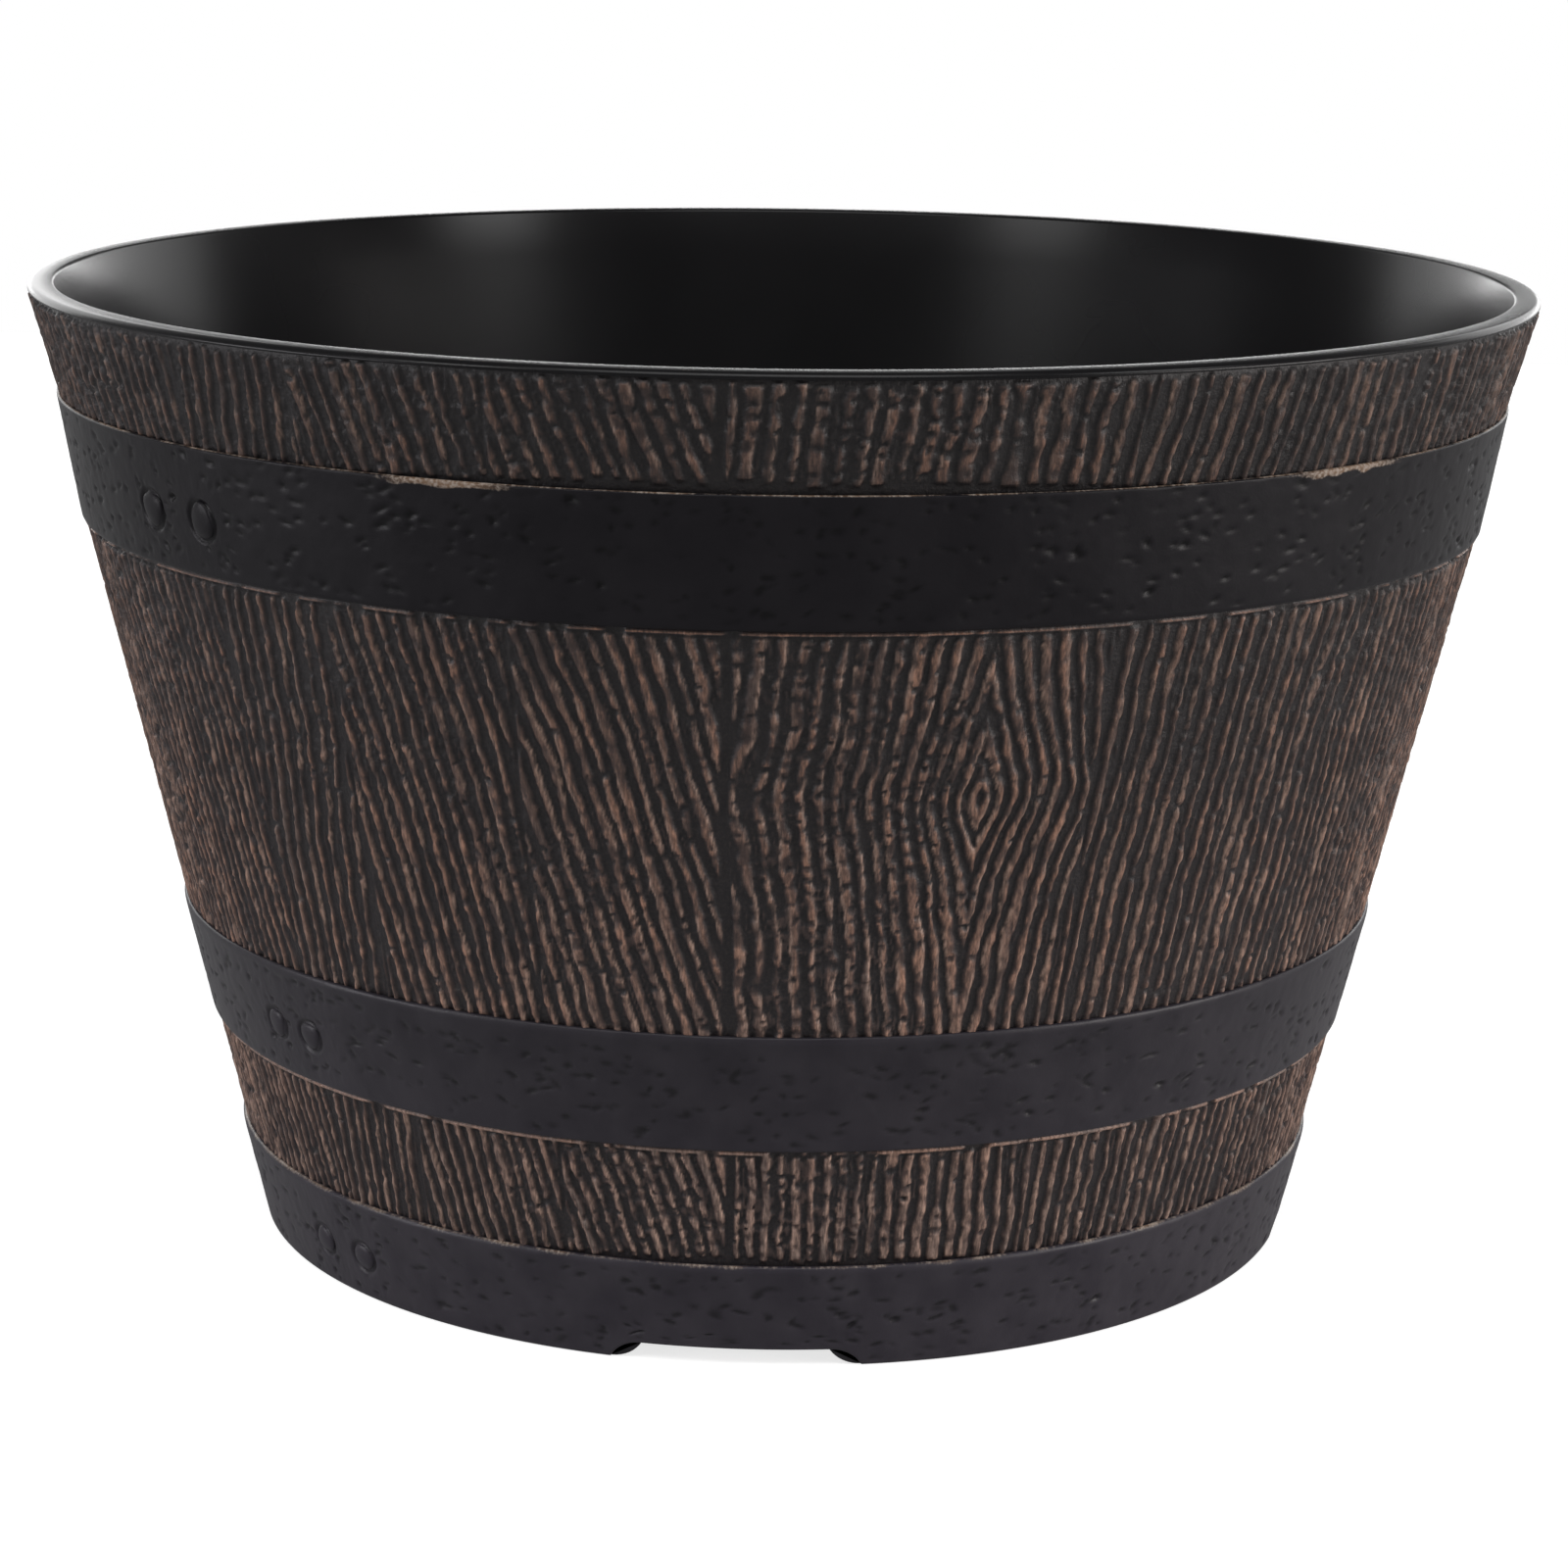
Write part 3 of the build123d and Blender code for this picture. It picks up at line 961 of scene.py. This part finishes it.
def hoop_object(hoop):
    """The hoop's face as a displaced grid, with rounded edges and returns to the wall."""
    columns = hoop_columns(hoop)
    bottom = lower_edge(hoop, columns)
    flat_top = hoop["top"] - hoop["edge"]
    fine_low = hoop["rivets"][0][1] - RIVET_REACH
    fine_high = hoop["rivets"][0][1] + RIVET_REACH
    levels = spaced(hoop["bottom"] + 0.5, flat_top, HOOP_ROW, fine_low, fine_high, RIVET_ROW)
    angle, row_level = np.meshgrid(columns, levels)
    level = row_level
    if hoop["bottom"] == 0.0:
        start = bottom[None, :] + FOOT_GAP
        blend_top = levels[0] + NOTCH_BLEND
        stretch = np.clip((level - levels[0]) / NOTCH_BLEND, 0.0, 1.0)
        level = np.where(level < blend_top, start + (blend_top - start) * stretch, level)
    even_radius = hoop["bottom_radius"] + (level - hoop["bottom"]) * hoop["slope"] + hoop["thickness"]
    depth, dent_shade = hammered(hoop, angle, row_level, level, even_radius)
    radius = even_radius - depth - FACE_DROP

    # Paint brushed along the upper edge, and in ragged patches that reach below it
    across = columns * MM_PER_DEGREE
    broken = 0.5 + 0.5 * noise(across / 5.0, across * 0 + 2.0, hoop["seed"] + 5)
    edge_line = hoop["edge_line"] * (0.55 + 0.6 * broken)
    patch = np.zeros_like(columns)
    for centre, reach in hoop["patches"]:
        patch += np.exp(-(((columns - centre) / reach) ** 2))
    ragged = 0.7 * noise(across / 3.0, across * 0 + 5.0, hoop["seed"] + 6)
    patch_bottom = (hoop["top"] - 1.6 - ragged)[None, :]
    worn = patch[None, :] * smooth(patch_bottom - 0.6, patch_bottom + 0.5, level)

    # Each row of the grid has its points, its brushed amounts and the painted shade of its marks: first the
    # lower round
    none = np.zeros_like(columns)
    thickness = hoop["thickness"]
    rows = []
    low_radius = hoop["bottom_radius"] + (bottom - hoop["bottom"]) * hoop["slope"]
    for offset, rise in ((-WALL_REACH, 0.0), (thickness - 0.45, 0.0), (thickness - 0.16, 0.12)):
        rows.append((around(columns, low_radius + offset, bottom + rise), none, none))
    rows += list(zip(around(angle, radius, level), worn, dent_shade))

    # Then the upper round, back to the wall
    top_radius = hoop["bottom_radius"] + (flat_top - hoop["bottom"]) * hoop["slope"]
    for turn in np.linspace(12, 90, 6):
        reach = hoop["edge"] * sin(radians(turn))
        offset = thickness * cos(radians(turn))
        wobble = 0.10 * noise(across / 6.0, across * 0 + turn / 50.0, hoop["seed"] + 9)
        wobble = wobble * sin(radians(2 * min(turn, 45)))
        edge_radius = top_radius + reach * hoop["slope"] + offset - FACE_DROP - np.abs(wobble)
        brushed = np.maximum(edge_line * sin(radians(turn)), patch)
        rows.append((around(columns, edge_radius, flat_top + reach), brushed, none))
    end_radius = top_radius + hoop["edge"] * hoop["slope"] - WALL_REACH
    rows.append((around(columns, end_radius, hoop["top"]), none, none))

    points, all_worn, all_dent_shade = (np.concatenate(values) for values in zip(*rows))
    attributes = {
        "across": np.tile(across, len(rows)),
        "level": points[:, 2],
        "worn": all_worn,
        "dent_shade": all_dent_shade,
    }
    faces = grid_faces(len(rows), len(columns), True)
    obj = make_object(hoop["name"] + "_face", points, faces, [hoop["name"]], attributes)
    obj.data.materials.append(hoop["material"])


RIVET_STEPS = 10
RIVET_TURNS = 48
RIVET_CROWN = 0.66
RIVET_ROOT = 0.55


def rivet_objects(hoop):
    """Two domed heads, each in the middle of its ring groove and a little out of round."""
    lean = np.arctan(hoop["slope"])
    for index, (centre, level) in enumerate(hoop["rivets"]):
        side = Vector((sin(radians(centre)), -cos(radians(centre)), 0.0))
        outward = side * cos(lean) - Vector((0.0, 0.0, sin(lean)))
        around_axis = Vector((cos(radians(centre)), sin(radians(centre)), 0.0))
        upward = outward.cross(around_axis)
        radius = hoop["bottom_radius"] + (level - hoop["bottom"]) * hoop["slope"] + hoop["thickness"]
        seat = side * radius + Vector((0.0, 0.0, level))
        rng = np.random.default_rng(hoop["seed"] + 40 + index)
        bend = rng.uniform(-0.06, 0.06, 3)
        rings = []
        for step in range(RIVET_STEPS + 1):
            t = step / RIVET_STEPS
            out = hoop["rivet_radius"] * cos(t * pi / 2)
            rise = -RIVET_ROOT + (RIVET_CROWN + RIVET_ROOT) * sin(t * pi / 2) ** 0.8
            for turn in range(RIVET_TURNS):
                a = 2 * pi * turn / RIVET_TURNS
                ripple = 1.0 + bend[0] * cos(2 * a) + bend[1] * sin(3 * a)
                point = seat + around_axis * (out * ripple * cos(a)) + upward * (out * ripple * sin(a))
                rings.append(point + outward * rise)
        points = np.array([tuple(p) for p in rings])
        obj = make_object(
            f"{hoop['name']}_rivet_{index + 1}",
            points,
            grid_faces(RIVET_STEPS + 1, RIVET_TURNS, True),
            [hoop["name"] + "_rivets"],
            {"across": points[:, 0], "level": points[:, 2], "worn": np.zeros(len(points))},
        )
        obj.data.materials.append(hoop["material"])


for hoop in hoops:
    hoop_object(hoop)
    rivet_objects(hoop)


# Floor, backdrop and light, with lengths in metres
FLOOR_SIZE = 3.6
FLOOR_DROP = 0.0002
FLOOR_DIFFUSE = 0.50
FLOOR_GLOW = 0.75
FILL_STRENGTH = 0.24

# Distances from the pot's axis between which the floor's glow comes up
GLOW_START = 0.085
GLOW_FULL = 0.115


def camera_white(tree, output, diffuse, seen):
    """White where the camera sees it, but not under the pot, with a diffuse part that keeps the shadow."""
    path = tree.nodes.new("ShaderNodeLightPath")
    place = tree.nodes.new("ShaderNodeTexCoord")
    distance = tree.nodes.new("ShaderNodeVectorMath")
    distance.operation = "LENGTH"
    tree.links.new(place.outputs["Object"], distance.inputs[0])
    open_floor = map_range(tree, distance.outputs["Value"], GLOW_START, GLOW_FULL)
    seen_by = math_node(tree, "MULTIPLY", path.outputs["Is Camera Ray"], open_floor)
    glow = tree.nodes.new("ShaderNodeEmission")
    tree.links.new(math_node(tree, "MULTIPLY", seen_by, seen), glow.inputs["Strength"])
    matt = tree.nodes.new("ShaderNodeBsdfDiffuse")
    matt.inputs["Color"].default_value = (diffuse, diffuse, diffuse, 1.0)
    both = tree.nodes.new("ShaderNodeAddShader")
    tree.links.new(glow.outputs["Emission"], both.inputs[0])
    tree.links.new(matt.outputs["BSDF"], both.inputs[1])
    tree.links.new(both.outputs["Shader"], output.inputs["Surface"])


def studio_floor():
    """Floor that looks like the backdrop, apart from the pot's shadow."""
    material = bpy.data.materials.new("pale_floor")
    material.use_nodes = True
    tree = material.node_tree
    tree.nodes.clear()
    output = tree.nodes.new("ShaderNodeOutputMaterial")
    camera_white(tree, output, FLOOR_DIFFUSE, FLOOR_GLOW)
    bpy.ops.mesh.primitive_plane_add(size=FLOOR_SIZE, location=(0.0, 0.0, -FLOOR_DROP))
    floor = bpy.context.object
    floor.name = "stage_floor"
    floor.data.materials.append(material)


def studio_world():
    """White backdrop where the camera sees it, and a weaker even light on everything."""
    world = bpy.data.worlds.new("studio")
    world.use_nodes = True
    tree = world.node_tree
    tree.nodes.clear()
    output = tree.nodes.new("ShaderNodeOutputWorld")
    path = tree.nodes.new("ShaderNodeLightPath")
    background = tree.nodes.new("ShaderNodeBackground")
    background.inputs["Color"].default_value = (1.0, 1.0, 1.0, 1.0)
    strength = map_range(tree, path.outputs["Is Camera Ray"], 0.0, 1.0, FILL_STRENGTH, 1.0)
    tree.links.new(strength, background.inputs["Strength"])
    tree.links.new(background.outputs["Background"], output.inputs["Surface"])
    bpy.context.scene.world = world


studio_floor()
studio_world()


def area_light(name, location, target, width, height, power, tint):
    """Rectangular lamp that faces its target."""
    light = bpy.data.lights.new(name, "AREA")
    light.shape = "RECTANGLE"
    light.size = width
    light.size_y = height
    light.energy = power
    light.color = tint
    obj = bpy.data.objects.new(name, light)
    bpy.context.scene.collection.objects.link(obj)
    obj.location = location
    obj.rotation_euler = (Vector(target) - Vector(location)).to_track_quat("-Z", "Y").to_euler()
    return obj


# Lamps: place, target, width, height, power in watts and tint
POT_MIDDLE = (0.0, 0.0, 0.13)
FAR_INSIDE = (0.0, 0.15, 0.22)
WHITE = (1.0, 1.0, 1.0)
FRONT_LAMPS = {
    "soft_left": ((-1.6, -0.6, 0.28), POT_MIDDLE, 1.0, 0.42, 12.0, (0.98, 0.96, 1.0)),
    "soft_right": ((1.6, -0.5, 0.28), POT_MIDDLE, 1.0, 0.42, 20.0, (1.0, 0.95, 0.93)),
    "soft_front": ((0.0, -1.2, 1.7), (0.0, -0.25, 0.0), 1.6, 0.9, 20.0, WHITE),
    "mouth_left": ((-1.14, -1.1, 1.12), FAR_INSIDE, 0.5, 0.4, 5.0, WHITE),
    "mouth_right": ((1.39, -0.78, 1.12), FAR_INSIDE, 0.5, 0.4, 5.0, WHITE),
}
BACK_LAMPS = {
    "soft_back_1": ((-1.58, 2.1, 0.75), (0.0, 0.0, 0.3), 1.9, 1.5, 19.0, WHITE),
    "soft_back_3": ((1.58, 2.1, 0.75), (0.0, 0.0, 0.3), 1.9, 1.5, 19.0, WHITE),
    "soft_back_low": ((0.0, 2.1, 0.32), (0.0, 0.0, 0.26), 2.6, 0.14, 5.0, WHITE),
}
for name, row in FRONT_LAMPS.items():
    area_light(name, *row)
for name, row in BACK_LAMPS.items():
    area_light(name, *row).visible_camera = False

# Camera, fitted to the ellipses of the rim, the hoops and the foot: its turn round the pot's axis in
# degrees, distance and height in metres, and pitch, yaw and roll in radians
CAMERA_TURN = 3.65
CAMERA_DISTANCE = 1.0647
CAMERA_HEIGHT = 0.3580
CAMERA_PITCH = 0.2283
CAMERA_YAW = 0.0015
CAMERA_ROLL = 0.013
FOCAL_PIXELS = 4243.84
PHOTO_PIXELS = 1600
SENSOR = 36.0


def place_camera():
    """Camera with the focal length and the place that the photograph was taken with."""
    level_length = cos(CAMERA_PITCH)
    forward = Vector((sin(CAMERA_YAW) * level_length, cos(CAMERA_YAW) * level_length, -sin(CAMERA_PITCH)))
    level_right = Vector((cos(CAMERA_YAW), -sin(CAMERA_YAW), 0.0))
    level_up = level_right.cross(forward)
    right = cos(CAMERA_ROLL) * level_right + sin(CAMERA_ROLL) * level_up
    up = -sin(CAMERA_ROLL) * level_right + cos(CAMERA_ROLL) * level_up
    axes = Matrix((right, up, -forward)).transposed()
    turned = Matrix.Rotation(radians(CAMERA_TURN), 4, "Z")
    placed = Matrix.Translation((0.0, -CAMERA_DISTANCE, CAMERA_HEIGHT)) @ axes.to_4x4()
    camera_data = bpy.data.cameras.new("camera")
    camera_data.sensor_width = SENSOR
    camera_data.lens = FOCAL_PIXELS / PHOTO_PIXELS * SENSOR
    camera = bpy.data.objects.new("camera", camera_data)
    bpy.context.scene.collection.objects.link(camera)
    camera.matrix_world = turned @ placed
    bpy.context.scene.camera = camera


place_camera()

view = bpy.context.scene.view_settings
view.view_transform = "Standard"
